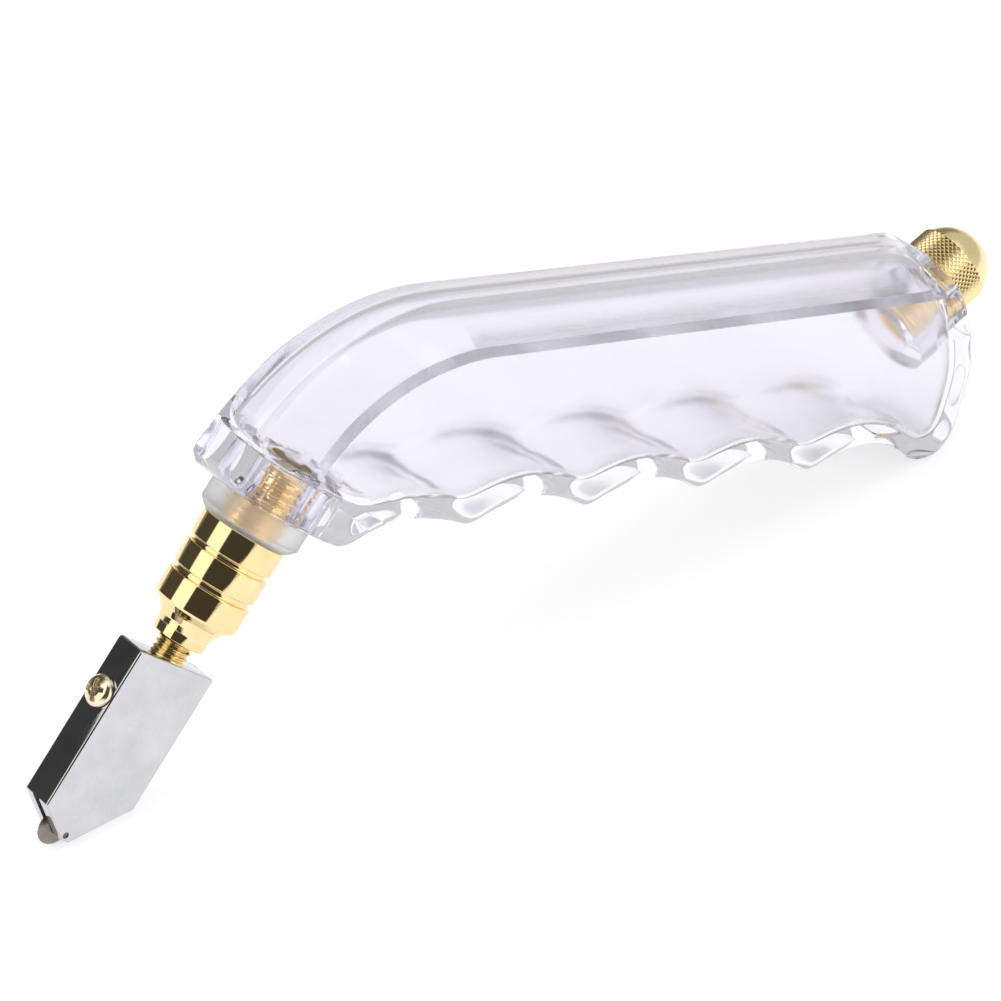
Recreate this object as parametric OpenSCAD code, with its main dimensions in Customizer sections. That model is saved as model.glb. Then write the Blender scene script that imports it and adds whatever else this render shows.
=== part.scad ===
// Pistol-grip oil-feed glass cutter, in millimetres.
// Row frame: origin where the cutting wheel stands on the table, +Z up, +X towards the filler cap, Y across.
// It is stored standing on its wheel and on the heel of its grip.
// Side-view sizes are worked out in the grip's own frame, whose origin lies on the barrel's axis at the nose.

/* [Grip] */
// height of the spine above the nose point
spine_z = 26.4; // [25.5:0.1:27.5]
// radius of the bend in the spine
bend_r = 33; // [32.5:0.1:33.5]
// where the spine turns straight
bend_x = 20.8; // [20.4:0.1:21.2]
// half width of the flat spine on the straight grip
spine_w = 2.7; // [2.2:0.1:3.4]
// half width of the flat spine at the nose
spine_nose_w = 3.5; // [3.2:0.1:4]
// half width of the grip at the seam
grip_w = 9.75; // [9.4:0.05:10.5]
// half width of the grip at the nose
nose_w = 8.3; // [8.2:0.05:8.8]
// height of the weld seam
seam_z = 21.6; // [21.2:0.1:22]
// radius of the bend in the seam
seam_r = 25.5; // [25:0.1:26]
// wall thickness of the clear shells
wall = 2.2; // [1.8:0.1:2.4]
// spacing of the finger grooves
finger_pitch = 20; // [19.8:0.1:20.2]
// radius of each finger groove
finger_r = 17.5; // [17.2:0.1:18]
// depth of the cusps between grooves below the nose point
cusp_z = -2.75; // [-3:0.05:-2.5]
// radius of the heel
heel_r = 4.9; // [4.7:0.05:5.1]

/* [Nose and barrel] */
// slope of the barrel's axis below the grip's length
barrel_angle = 63.5; // [63:0.1:64]
// radius of the frosted nose bush
bush_r = 6.9; // [6.7:0.05:7]
// how far the bush stands out of the nose
bush_out = 4.3; // [4:0.1:4.6]
// barrel radius
barrel_r = 5.75; // [5.5:0.05:5.9]
// radius of the barrel's threaded neck
neck_r = 4.5; // [4.3:0.05:4.6]
// where the barrel's straight part ends, below the nose point
barrel_end = 16.2; // [16:0.1:16.6]
// radius of the small end of the barrel's cone
cone_r = 3.55; // [3.5:0.05:3.7]
// length of the cone
cone_len = 4; // [3.8:0.1:4.2]
// radius of the valve chamber
chamber_r = 3.4; // [3.3:0.05:3.5]

/* [Cutting head] */
// thread radius of the stem that carries the head
stem_r = 2.4; // [2.3:0.05:2.5]
// thread pitch of the stem
stem_pitch = 0.75; // [0.7:0.05:0.8]
// how far the stem lifts when the head is pressed
press = 0.8; // [0.4:0.1:1]
// thickness of the head block
head_t = 4.8; // [4.6:0.1:5.2]
// breadth of the head block
head_w = 13.6; // [13:0.1:14]
// top of the head block, below the nose point
head_top = 22.8; // [22.6:0.1:23]
// bottom of the head's front face
head_low = 45.2; // [45:0.1:45.4]
// lowest point of the head block
head_tip = 48.8; // [48.6:0.1:49]
// radius of the cutting wheel
wheel_r = 2.6; // [2.5:0.05:2.7]
// thickness of the cutting wheel
wheel_t = 1; // [0.8:0.1:1.1]
// radius of the axle pin
axle_r = 0.45; // [0.4:0.05:0.5]
// radius of the lock screw's head
lock_r = 2.1; // [1.9:0.05:2.15]

/* [Filler cap] */
// slope of the cap's axis above the grip's length
cap_angle = 37.5; // [36:0.5:39]
// radius of the cap
cap_r = 5.85; // [5.6:0.05:6]
// length of the knurled band
cap_band = 5.2; // [4.8:0.1:5.4]
// radius of the cap's threaded spigot
spigot_r = 3.75; // [3.6:0.05:3.8]
// length of the spigot
spigot_len = 7.4; // [7:0.2:8]

/* [Hidden] */
$fn = 96;
bend_end = 52;
nose_slope = 54;
seam_x = 24;
first_x = 25.9;
groove_z = cusp_z - sqrt(finger_r * finger_r - finger_pitch * finger_pitch / 4);
heel_x = 110.7;
heel_z = 0.9;
rear_x = heel_x + heel_r;
cap_foot = [110.86, 18.56];
wheel_n = -1.1;
wheel_k = -47.95;
lock_k = -29.9;
run = 0.06;
bush_top = 5.2;
neck_top = 4.6;
seal_r = neck_r + 0.44;
axis_x = -cos(barrel_angle);
axis_z = -sin(barrel_angle);
// wheel centre in the grip's frame, and the tilt that stands wheel and heel on the table
wheel_x = wheel_k * cos(barrel_angle) + wheel_n * sin(barrel_angle);
wheel_z = wheel_k * sin(barrel_angle) - wheel_n * cos(barrel_angle);
stand_len = norm([heel_x - wheel_x, heel_z - wheel_z]);
tilt = atan2(heel_z - wheel_z, heel_x - wheel_x) + asin((wheel_r - heel_r) / stand_len);

// puts a shape from the grip's frame on the table
module stand() {
  translate([-wheel_x * cos(tilt) - wheel_z * sin(tilt), 0, wheel_x * sin(tilt) - wheel_z * cos(tilt) + wheel_r])
    rotate([0, tilt, 0])
      children();
}

// barrel frame: +Z up the barrel's axis, +X towards the fingers
module on_barrel() {
  stand()
    rotate([0, 90 - barrel_angle, 0])
      children();
}

// cap frame: +Z out along the cap's axis from the slanted rear face
module on_cap() {
  stand()
    translate([cap_foot[0], 0, cap_foot[1]])
      rotate([0, 90 - cap_angle, 0])
        children();
}

// ---- grip ----

// everything at least t inside the line through p whose inward normal points along a
module inside_of(p, a, t) {
  translate(p)
    rotate(a)
      translate([t, -150])
        square([300, 300]);
}

// the nose is solid down to bush_top, so the cavity starts there
function front(t) = t > 0 ? -bush_top : 0.3;

// side view of the grip, every face moved in by t
module side_view(t) {
  difference() {
    intersection() {
      inside_of([-9.9, 7], 0, t);
      inside_of([-9.8, 6], 33, t);
      inside_of([-8.9, 4.7], 47, t);
      inside_of([axis_x * front(t), axis_z * front(t)], barrel_angle, 0);
      inside_of([103, 26.3], 251, t);
      inside_of([108.6, 21.5], 180 + cap_angle, t);
      inside_of([rear_x, 8], 180, t);
      inside_of([rear_x, 9.5], 204, t);
      union() {
        translate([heel_x, heel_z])
          circle(r = heel_r - t);
        translate([-60, heel_z])
          square([220, 80]);
        translate([-60, heel_z - heel_r + t])
          square([60 + heel_x, 40]);
      }
    }
    translate([17.6, groove_z - 0.9])
      circle(r = finger_r + t);
    for (i = [0 : 3])
      translate([first_x + finger_pitch * (i + 0.5), groove_z])
        circle(r = finger_r + t);
  }
}

// a blend from a to b
function mix(a, b, u) = a + (b - a) * u;
// spine, seam and foot lines of the grip at station u (0 at the nose, 1 where the grip turns straight)
function spine_arc(a, t) = [bend_x - (bend_r - t) * sin(a), spine_z - bend_r + (bend_r - t) * cos(a)];
function spine_at(u, t) = u < 0.25
  ? spine_arc(bend_end, t) - [cos(nose_slope), sin(nose_slope)] * 44 * (0.25 - u)
  : spine_arc(bend_end * (1 - u) / 0.75, t);
function seam_arc(a) = [seam_x - seam_r * sin(a), seam_z - seam_r * (1 - cos(a))];
function seam_at(u) = u < 0.3
  ? seam_arc(barrel_angle) + [axis_x, axis_z] * 40 * (0.3 - u)
  : seam_arc(barrel_angle * (1 - u) / 0.7);
function foot_at(u) = [mix(9, bend_x, u), mix(-10, -14, u)];
// half width of the grip along the straight part, drawn in towards the heel
function width_at(x) = x < 98 ? grip_w : mix(grip_w, 7.3, pow((x - 98) / 24, 1.6));

// one cross-section ring, eight corners, walls moved in by t
function ring(s, m, f, ws, wm, t) = let (
  up = (s - f) / norm(s - f),
  hi = m + up * (0.45 - 0.5 * t),
  lo = m - up * (0.45 + 0.5 * t)) [
  [s[0], ws - 0.55 * t, s[1]], [hi[0], wm - t, hi[1]], [lo[0], wm - t, lo[1]], [f[0], wm - t, f[1]],
  [f[0], t - wm, f[1]], [lo[0], t - wm, lo[1]], [hi[0], t - wm, hi[1]], [s[0], 0.55 * t - ws, s[1]]];
bend_rings = 16;
rear_rings = 9;
function bend_ring(u, t) = ring(spine_at(u, t), seam_at(u), foot_at(u), mix(spine_nose_w, spine_w, pow(max(u, 0), 1.5)),
  mix(nose_w, grip_w, min(1, max(0, u * 1.1))), t);
function rear_ring(x, t) = ring([x, spine_z - t], [x, seam_z], [x, -14], spine_w - 0.25 * (x - 25) / 75,
  width_at(x), t);
function rings(t) = concat(
  [for (i = [0 : bend_rings]) bend_ring(i / bend_rings, t)],
  [rear_ring(60, t)],
  [for (i = [0 : rear_rings]) rear_ring(98 + 24 * i / rear_rings, t)]);

// skin through a list of eight-cornered rings
module skin(list) {
  n = len(list);
  pts = [for (r = list) for (p = r) p];
  sides = [for (i = [0 : n - 2]) for (j = [0 : 7]) let (k = (j + 1) % 8)
    each [[i * 8 + j, i * 8 + k, i * 8 + 8 + j], [i * 8 + k, i * 8 + 8 + k, i * 8 + 8 + j]]];
  e = (n - 1) * 8;
  caps = [[7, 6, 1, 0], [6, 5, 2, 1], [5, 4, 3, 2], [e, e + 1, e + 6, e + 7], [e + 1, e + 2, e + 5, e + 6],
    [e + 2, e + 3, e + 4, e + 5]];
  polyhedron(points = pts, faces = concat(sides, caps));
}

// solid grip with every wall moved in by t
module grip_body(t) {
  intersection() {
    skin(rings(t));
    rotate([90, 0, 0])
      linear_extrude(height = 40, center = true)
        side_view(t);
  }
}

// the space above the weld seam
module above_seam() {
  line = concat([seam_at(-0.4)], [for (i = [0 : 14]) seam_at(0.3 + 0.7 * i / 14)], [[140, seam_z]]);
  rotate([90, 0, 0])
    linear_extrude(height = 50, center = true)
      polygon(concat(line, [[140, 60], [-60, 60]]));
}

// cylinder on the barrel's axis, in the grip's frame
module barrel_rod(r, k0, k1) {
  rotate([0, 90 - barrel_angle, 0])
    translate([0, 0, k0])
      cylinder(r = r, h = k1 - k0);
}

// cylinder on the cap's axis, in the grip's frame
module cap_rod(r, k0, k1) {
  translate([cap_foot[0], 0, cap_foot[1]])
    rotate([0, 90 - cap_angle, 0])
      translate([0, 0, k0])
        cylinder(r = r, h = k1 - k0);
}

// block behind the chin, with a square well in its top
module chin_block() {
  rotate([0, 90 - barrel_angle, 0])
    difference() {
      translate([7.4, -4, bush_top - 1.6])
        cube([4.6, 8, 2.7]);
      translate([8.6, -1.4, bush_top - 0.4])
        cube([1.8, 2.8, 3]);
    }
}

module handle_upper() {
  color([0.9, 0.9, 0.96, 0.35])
    stand()
      difference() {
        intersection() {
          difference() {
            grip_body(0);
            grip_body(wall);
          }
          above_seam();
        }
        barrel_rod(bush_r, -20, bush_top + 0.1);
        cap_rod(spigot_r + 3, -9.02, 20);
      }
}

module handle_lower() {
  color([0.9, 0.9, 0.96, 0.35])
    stand()
      difference() {
        union() {
          difference() {
            grip_body(0);
            grip_body(wall);
            above_seam();
          }
          intersection() {
            grip_body(0);
            union() {
              chin_block();
              cap_rod(spigot_r + 3, -9, 20);
            }
          }
        }
        barrel_rod(bush_r, -20, bush_top + 0.1);
        cap_rod(spigot_r + run, -10, 20);
      }
}

module nose_bush() {
  color([0.86, 0.86, 0.92, 0.6])
    on_barrel()
      rotate_extrude()
        polygon([[neck_r + run, 0.9 - bush_out], [seal_r + 0.42, 0.9 - bush_out],
          [seal_r + 0.42, -bush_out], [bush_r - 1, -bush_out], [bush_r - 0.3, 0.3 - bush_out],
          [bush_r, 1 - bush_out], [bush_r, bush_top], [neck_r + run, bush_top]]);
}

// ---- filler cap ----

module filler_cap() {
  color([0.85, 0.7, 0.35])
    on_cap()
      difference() {
        union() {
          rotate_extrude()
            polygon([[0, 0.3], [cap_r - 0.5, 0.3], [cap_r, 0.8], [cap_r, cap_band], [cap_r - 0.25, cap_band + 0.25],
              [cap_r - 0.25, cap_band + 0.5], [0, cap_band + 0.5]]);
          translate([0, 0, cap_band - 1.25])
            rotate_extrude()
              intersection() {
                circle(r = cap_r - 0.1);
                translate([0, 1.5])
                  square([10, 10]);
              }
          translate([0, 0, -spigot_len])
            cylinder(r = spigot_r, h = spigot_len + 1);
        }
        for (i = [0 : 4])
          translate([0, 0, -spigot_len + 0.7 + i * 1.3])
            rotate_extrude()
              translate([spigot_r, 0])
                circle(r = 0.4, $fn = 4);
        translate([0, 0, -spigot_len - 1])
          cylinder(r = spigot_r - 1.2, h = 1.6);
        translate([0, 0, 0.2])
          rotate_extrude()
            translate([spigot_r, 0])
              square([0.95, 0.75]);
      }
}

module cap_seal() {
  color([0.08, 0.08, 0.08])
    on_cap()
      translate([0, 0, 0.48])
        rotate_extrude()
          translate([spigot_r + 0.48, 0])
            circle(r = 0.42, $fn = 32);
}

// ---- barrel and valve ----

module barrel() {
  color([0.86, 0.66, 0.25])
    on_barrel()
      difference() {
        rotate_extrude()
          polygon([[0, -barrel_end - cone_len], [cone_r, -barrel_end - cone_len],
            [cone_r + 0.25, -barrel_end - 0.65 * cone_len], [cone_r + 0.85, -barrel_end - 0.3 * cone_len],
            [barrel_r - 0.15, -barrel_end], [barrel_r, 0.3 - barrel_end],
            [barrel_r, -12.65], [barrel_r - 0.45, -12.5], [barrel_r - 0.45, -11.8], [barrel_r, -11.65],
            [barrel_r, -8.55], [barrel_r - 0.45, -8.4], [barrel_r - 0.45, -7.8], [barrel_r, -7.65],
            [barrel_r, -bush_out - 0.15], [barrel_r - 0.1, -bush_out], [neck_r, -bush_out], [neck_r, neck_top], [0, neck_top]]);
        translate([0, 0, -15])
          cylinder(r = chamber_r, h = 21);
        translate([0, 0, -30])
          cylinder(r = stem_r + run, h = 20);
        translate([0, 0, -barrel_end - cone_len - 1])
          cylinder(r = cone_r - 0.5, h = 1.9);
        for (i = [0 : 5])
          translate([0, 0, 3.8 - i * 1.1])
            rotate_extrude()
              translate([neck_r, 0])
                circle(r = 0.38, $fn = 4);
      }
}

module barrel_seal() {
  color([0.08, 0.08, 0.08])
    on_barrel()
      translate([0, 0, 0.44 - bush_out])
        rotate_extrude()
          translate([seal_r, 0])
            circle(r = 0.4, $fn = 32);
}

module stem_wiper() {
  color([0.06, 0.06, 0.06])
    on_barrel()
      translate([0, 0, -barrel_end - cone_len])
        difference() {
          cylinder(r = cone_r - 0.52, h = 0.88);
          translate([0, 0, -1])
            cylinder(r = stem_r + run, h = 3);
        }
}

module stem() {
  color([0.84, 0.66, 0.28])
    on_barrel()
      difference() {
        rotate_extrude()
          polygon([[0.75, -33], [1.5, -33], [1.5, 0.02 - head_top], [stem_r, 0.02 - head_top], [stem_r, -14.12],
            [chamber_r - 0.05, -14.12], [chamber_r - 0.05, -11.7], [1.7, -11.7], [1.7, -8.2], [0.75, -8.2]]);
        for (i = [0 : 8])
          translate([0, 0, 0.35 - head_top + i * stem_pitch])
            rotate_extrude()
              translate([stem_r, 0])
                circle(r = 0.3, $fn = 4);
        for (a = [0, 180])
          rotate(a)
            translate([2.5, -5, -14.5])
              cube([5, 10, 3]);
      }
}

module valve_seal() {
  color([0.1, 0.1, 0.1])
    on_barrel()
      translate([0, 0, -14.57])
        rotate_extrude()
          translate([stem_r + 0.5, 0])
            circle(r = 0.42, $fn = 32);
}

spring_wire = 0.3;
spring_turns = 6;
module valve_spring() {
  color([0.75, 0.75, 0.78])
    on_barrel()
      translate([0, 0, -11.65 + spring_wire])
        linear_extrude(height = 8, twist = -360 * spring_turns, slices = 24 * spring_turns, $fn = 8)
          translate([2.5, 0])
            scale([1, 1.6])
              circle(r = spring_wire, $fn = 8);
}

module spring_plug() {
  color([0.8, 0.64, 0.3])
    on_barrel()
      difference() {
        translate([0, 0, -3.2])
          cylinder(r = chamber_r - 0.02, h = 3.6);
        translate([0, 0, -5])
          cylinder(r = 1, h = 8);
        translate([-5, -0.5, -0.6])
          cube([10, 1, 3]);
      }
}

module wick() {
  color([0.93, 0.9, 0.82])
    on_barrel()
      translate([0, 0, -44.5])
        cylinder(r = 0.68, h = 36);
}

// ---- cutting head ----

head_outline = [[-head_w / 2, -head_top], [head_w / 2 + 0.25, -head_top], [head_w / 2 + 0.25, -42], [0.1, -head_tip],
  [-1.2, -head_tip], [-head_w / 2, -head_low]];

// the head's outline scaled in by c on every side, h thick
module head_slab(c, h) {
  mid = [0.3, -34];
  rotate([90, 0, 0])
    linear_extrude(height = h, center = true)
      polygon([for (p = head_outline) [mid[0] + (p[0] - mid[0]) * (1 - c / 6.8), mid[1] + (p[1] - mid[1]) * (1 - c / 12)]]);
}

module head_block() {
  color([0.78, 0.79, 0.8])
    on_barrel()
      difference() {
        hull() {
          head_slab(0, head_t - 0.7);
          head_slab(0.35, head_t);
        }
        translate([0, 0, -33.1])
          cylinder(r = 1.55, h = 12);
        translate([0, 0, -46])
          cylinder(r = 0.8, h = 14);
        translate([-9, -0.7, -54])
          cube([11.2, 1.4, 54 + wheel_k + wheel_r + 0.3]);
        translate([wheel_n, 5, wheel_k])
          rotate([90, 0, 0])
            cylinder(r = axle_r, h = 10);
        translate([-8, 0, lock_k])
          rotate([0, 90, 0])
            cylinder(r = 1.3, h = 8);
        translate([-head_w / 2 - 1, 0, lock_k])
          rotate([0, 90, 0])
            cylinder(r = lock_r + 0.12, h = 1.5);
      }
}

module lock_screw() {
  color([0.8, 0.72, 0.45])
    on_barrel()
      translate([0, 0, lock_k])
        rotate([0, -90, 0])
          difference() {
            rotate_extrude()
              polygon([[0, 1.56], [1.2, 1.56], [1.25, 1.7], [1.25, head_w / 2 - 0.45], [lock_r, head_w / 2 - 0.45],
                [lock_r, head_w / 2 + 0.6], [lock_r - 0.35, head_w / 2 + 1], [1, head_w / 2 + 1.25],
                [0, head_w / 2 + 1.3]]);
            for (a = [0, 90])
              rotate(a + 20)
                translate([-1.2, -0.27, head_w / 2 + 0.5])
                  cube([2.3, 0.5, 3]);
          }
}

module axle_pin() {
  color([0.5, 0.5, 0.52])
    on_barrel()
      translate([wheel_n, head_t / 2 - 0.1, wheel_k])
        rotate([90, 0, 0])
          cylinder(r = axle_r, h = head_t - 0.2);
}

module cutting_wheel() {
  color([0.42, 0.38, 0.34])
    on_barrel()
      translate([wheel_n, 0, wheel_k])
        rotate([90, 0, 0])
          rotate_extrude()
            polygon([[axle_r + run, -wheel_t / 2], [wheel_r - 0.75, -wheel_t / 2], [wheel_r, 0],
              [wheel_r - 0.75, wheel_t / 2], [axle_r + run, wheel_t / 2]]);
}

handle_upper();
handle_lower();
nose_bush();
filler_cap();
cap_seal();
barrel();
barrel_seal();
stem_wiper();
stem();
valve_seal();
valve_spring();
spring_plug();
wick();
head_block();
lock_screw();
axle_pin();
cutting_wheel();
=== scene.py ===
import math

import bmesh
import bpy
import numpy as np
from mathutils import Matrix, Vector
from mathutils.geometry import delaunay_2d_cdt


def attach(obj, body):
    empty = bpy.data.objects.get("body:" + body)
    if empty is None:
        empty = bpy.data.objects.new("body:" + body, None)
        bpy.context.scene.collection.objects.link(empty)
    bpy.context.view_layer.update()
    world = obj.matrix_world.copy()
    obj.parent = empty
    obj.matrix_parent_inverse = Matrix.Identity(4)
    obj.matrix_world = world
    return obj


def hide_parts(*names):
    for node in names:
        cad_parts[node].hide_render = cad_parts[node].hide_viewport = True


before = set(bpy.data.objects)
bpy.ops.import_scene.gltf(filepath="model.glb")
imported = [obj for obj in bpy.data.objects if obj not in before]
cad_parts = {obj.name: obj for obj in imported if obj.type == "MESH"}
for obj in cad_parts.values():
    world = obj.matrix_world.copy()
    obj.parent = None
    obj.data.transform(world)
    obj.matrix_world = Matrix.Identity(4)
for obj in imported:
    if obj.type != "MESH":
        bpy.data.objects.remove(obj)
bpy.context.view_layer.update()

MM = 0.001

# ---------------------------------------------------------------- frames (numbers as in part.scad, in mm)
BA, CA = math.radians(63.5), math.radians(37.5)
WHEEL_N, WHEEL_K, WHEEL_R = -1.1, -47.95, 2.6
HEAD_W, LOCK_K = 13.6, -29.9
HEEL_X, HEEL_Z, HEEL_R = 110.7, 0.9, 4.9
CAP_FOOT = (110.86, 18.56)
wheel_x = WHEEL_K * math.cos(BA) + WHEEL_N * math.sin(BA)
wheel_z = WHEEL_K * math.sin(BA) - WHEEL_N * math.cos(BA)
stand_len = math.hypot(HEEL_X - wheel_x, HEEL_Z - wheel_z)
TILT = math.atan2(HEEL_Z - wheel_z, HEEL_X - wheel_x) + math.asin((WHEEL_R - HEEL_R) / stand_len)
ct, st = math.cos(TILT), math.sin(TILT)
STAND = Matrix.Scale(MM, 4) @ Matrix.Translation(
    (-wheel_x * ct - wheel_z * st, 0, wheel_x * st - wheel_z * ct + WHEEL_R)) @ Matrix.Rotation(TILT, 4, "Y")
BARREL = STAND @ Matrix.Rotation(math.pi / 2 - BA, 4, "Y")
CAP = STAND @ Matrix.Translation((CAP_FOOT[0], 0, CAP_FOOT[1])) @ Matrix.Rotation(math.pi / 2 - CA, 4, "Y")


# ---------------------------------------------------------------- material helpers
def new_material(name):
    """A new material with its node tree and its principled shader."""
    m = bpy.data.materials.new(name)
    m.use_nodes = True
    return m, m.node_tree, m.node_tree.nodes["Principled BSDF"]


def node(nt, kind, **values):
    """A node with its sockets, or else its own settings, set by name."""
    n = nt.nodes.new(kind)
    for key, value in values.items():
        if key in n.inputs:
            n.inputs[key].default_value = value
        else:
            setattr(n, key, value)
    return n


def coords(nt, stretch, local=None):
    """The piece's coordinates in mm in a local frame, stretched along that frame's axes."""
    t = node(nt, "ShaderNodeTexCoord")
    inv = (local or STAND).inverted()
    m = node(nt, "ShaderNodeMapping")
    m.inputs["Scale"].default_value = (1 / MM,) * 3
    m.inputs["Rotation"].default_value = inv.to_euler()
    m.inputs["Location"].default_value = inv.to_translation()
    s = node(nt, "ShaderNodeMapping")
    s.inputs["Scale"].default_value = stretch
    nt.links.new(t.outputs["Object"], m.inputs["Vector"])
    nt.links.new(m.outputs["Vector"], s.inputs["Vector"])
    return s.outputs["Vector"]


def noise_tex(nt, vector, scale, detail=4, rough=0.5):
    n = node(nt, "ShaderNodeTexNoise", Scale=scale, Detail=detail, Roughness=rough)
    nt.links.new(vector, n.inputs["Vector"])
    return n.outputs["Fac"]


def ramp(nt, fac, stops):
    r = node(nt, "ShaderNodeValToRGB")
    el = r.color_ramp.elements
    el[0].position, el[0].color = stops[0][0], (*stops[0][1], 1)
    el[1].position, el[1].color = stops[-1][0], (*stops[-1][1], 1)
    for p, c in stops[1:-1]:
        e = el.new(p)
        e.color = (*c, 1)
    nt.links.new(fac, r.inputs["Fac"])
    return r.outputs["Color"]


def span(nt, fac, lo, hi, a=0.3, b=0.7):
    """fac from a to b mapped to lo to hi."""
    m = node(nt, "ShaderNodeMapRange")
    m.inputs["From Min"].default_value, m.inputs["From Max"].default_value = a, b
    m.inputs["To Min"].default_value, m.inputs["To Max"].default_value = lo, hi
    nt.links.new(fac, m.inputs["Value"])
    return m.outputs["Result"]


def bump(nt, height, strength, distance):
    b = node(nt, "ShaderNodeBump", Strength=strength, Distance=distance)
    nt.links.new(height, b.inputs["Height"])
    return b.outputs["Normal"]


def metal(name, dark, light, rough, stretch=(1, 1, 1), scale=2.0, grain=0.15, spread=0.06, aniso=0.0,
          local=None):
    """Metal whose tone, roughness and fine grain vary."""
    m, nt, p = new_material(name)
    v = coords(nt, stretch, local or BARREL)
    fine = noise_tex(nt, v, scale, 6, 0.6)
    broad = noise_tex(nt, coords(nt, (1, 1, 1)), 0.25, 3)
    nt.links.new(ramp(nt, broad, [(0.3, dark), (0.7, light)]), p.inputs["Base Color"])
    nt.links.new(span(nt, fine, max(rough - spread, 0.02), rough + spread), p.inputs["Roughness"])
    nt.links.new(bump(nt, fine, grain, 0.02 * MM), p.inputs["Normal"])
    p.inputs["Metallic"].default_value = 1.0
    p.inputs["Anisotropic"].default_value = aniso
    return m


# ---------------------------------------------------------------- materials
def clear(name, tint, rough, waviness, see=1.0, spread=0.5, ior=1.49):
    """Clear plastic; see is the share of light let through and spread how far the roughness varies."""
    m, nt, p = new_material(name)
    big = noise_tex(nt, coords(nt, (1, 1, 1)), 0.12, 2)
    small = noise_tex(nt, coords(nt, (1, 1, 1)), 1.7, 5, 0.65)
    lo = tuple(c * 0.985 for c in tint)
    nt.links.new(ramp(nt, big, [(0.3, lo), (0.7, tint)]), p.inputs["Base Color"])
    nt.links.new(span(nt, small, rough * (1 - spread), rough * (1 + spread)), p.inputs["Roughness"])
    nt.links.new(bump(nt, big, waviness, 0.4 * MM), p.inputs["Normal"])
    p.inputs["Transmission Weight"].default_value = see
    p.inputs["IOR"].default_value = ior
    return m


ACRYLIC = clear("clear_plastic", (0.952, 0.942, 0.992), 0.025, 0.05)
INSIDE = clear("moulded_inside", (0.952, 0.942, 0.992), 0.16, 0.05, 1.0, 0.12)
WELD = clear("weld_line", (0.93, 0.92, 0.975), 0.1, 0.0, 1.0, 0.3, 1.0)
FROST = clear("frosted_plastic", (0.985, 0.98, 0.985), 0.42, 0.05, 0.84, 0.1)
GOLD = metal("polished_brass", (0.93, 0.72, 0.36), (0.97, 0.8, 0.46), 0.06, (0.5, 0.5, 12), 3.0, 0.12, 0.03)
BRASS = metal("turned_brass", (0.78, 0.6, 0.3), (0.9, 0.73, 0.42), 0.2, (0.4, 0.4, 10), 3.0, 0.25, 0.06)
SATIN = metal("satin_brass", (0.98, 0.78, 0.4), (1.0, 0.84, 0.5), 0.24, (1, 1, 1), 5.0, 0.35, 0.06, local=CAP)
BRUSHED = metal("brushed_plate", (0.6, 0.605, 0.63), (0.68, 0.68, 0.705), 0.28, (14, 1, 0.6), 2.0, 0.4, 0.08)
MIRROR = metal("polished_plate", (0.5, 0.5, 0.53), (0.62, 0.62, 0.65), 0.08, (2, 2, 2), 2.0, 0.15, 0.04)
ZINC = metal("zinc_yellow", (0.84, 0.74, 0.5), (0.93, 0.86, 0.7), 0.22, (1, 1, 1), 3.0, 0.25, 0.06)
CARBIDE = metal("ground_carbide", (0.2, 0.175, 0.15), (0.34, 0.3, 0.26), 0.3, (1, 1, 8), 3.0, 0.4, 0.08)
PALE = metal("pale_brass", (0.86, 0.8, 0.64), (0.93, 0.88, 0.74), 0.3, (0.4, 0.4, 10), 3.0, 0.2, 0.06)
PIN = metal("pin_steel", (0.12, 0.11, 0.11), (0.22, 0.21, 0.21), 0.3, (2, 2, 2), 3.0, 0.2, 0.05)
STEEL = metal("drawn_steel", (0.5, 0.5, 0.52), (0.66, 0.66, 0.68), 0.25, (1, 1, 6), 3.0, 0.2, 0.05)


def soft(name, dark, light, rough, scale, grain):
    """Rubber or cotton."""
    m, nt, p = new_material(name)
    f = noise_tex(nt, coords(nt, (1, 1, 1)), scale, 6, 0.6)
    nt.links.new(ramp(nt, f, [(0.3, dark), (0.7, light)]), p.inputs["Base Color"])
    nt.links.new(span(nt, f, rough - 0.08, rough + 0.08), p.inputs["Roughness"])
    nt.links.new(bump(nt, f, grain, 0.1 * MM), p.inputs["Normal"])
    return m


RUBBER = soft("seal_rubber", (0.02, 0.02, 0.02), (0.05, 0.05, 0.05), 0.55, 3.0, 0.3)
COTTON = soft("wick_cotton", (0.78, 0.74, 0.64), (0.94, 0.91, 0.83), 0.85, 4.0, 0.8)


# ---------------------------------------------------------------- mesh helpers (mm in a local frame)
def add_mesh(name, verts, faces, mat, matrix, body, angle=35.0, replaces=(), slot=None, mats=None, pick=None):
    me = bpy.data.meshes.new(name)
    me.from_pydata([tuple(v) for v in verts], [], [tuple(f) for f in faces])
    bm = bmesh.new()
    bm.from_mesh(me)
    bmesh.ops.remove_doubles(bm, verts=bm.verts, dist=1e-5)
    bmesh.ops.dissolve_degenerate(bm, dist=1e-6, edges=bm.edges)
    bmesh.ops.recalc_face_normals(bm, faces=bm.faces)
    bm.to_mesh(me)
    bm.free()
    return add_object(name, me, mat, matrix, body, angle, replaces, mats, pick)


def add_object(name, me, mat, matrix, body, angle=35.0, replaces=(), mats=None, pick=None):
    me.materials.clear()
    for m in mats or [mat]:
        me.materials.append(m)
    if pick:
        for f in me.polygons:
            f.material_index = pick(f)
    for f in me.polygons:
        f.use_smooth = True
    me.set_sharp_from_angle(angle=math.radians(angle))
    me.transform(matrix)
    o = bpy.data.objects.new(name, me)
    bpy.context.scene.collection.objects.link(o)
    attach(o, body)
    if replaces:
        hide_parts(*replaces)
    return o


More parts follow.
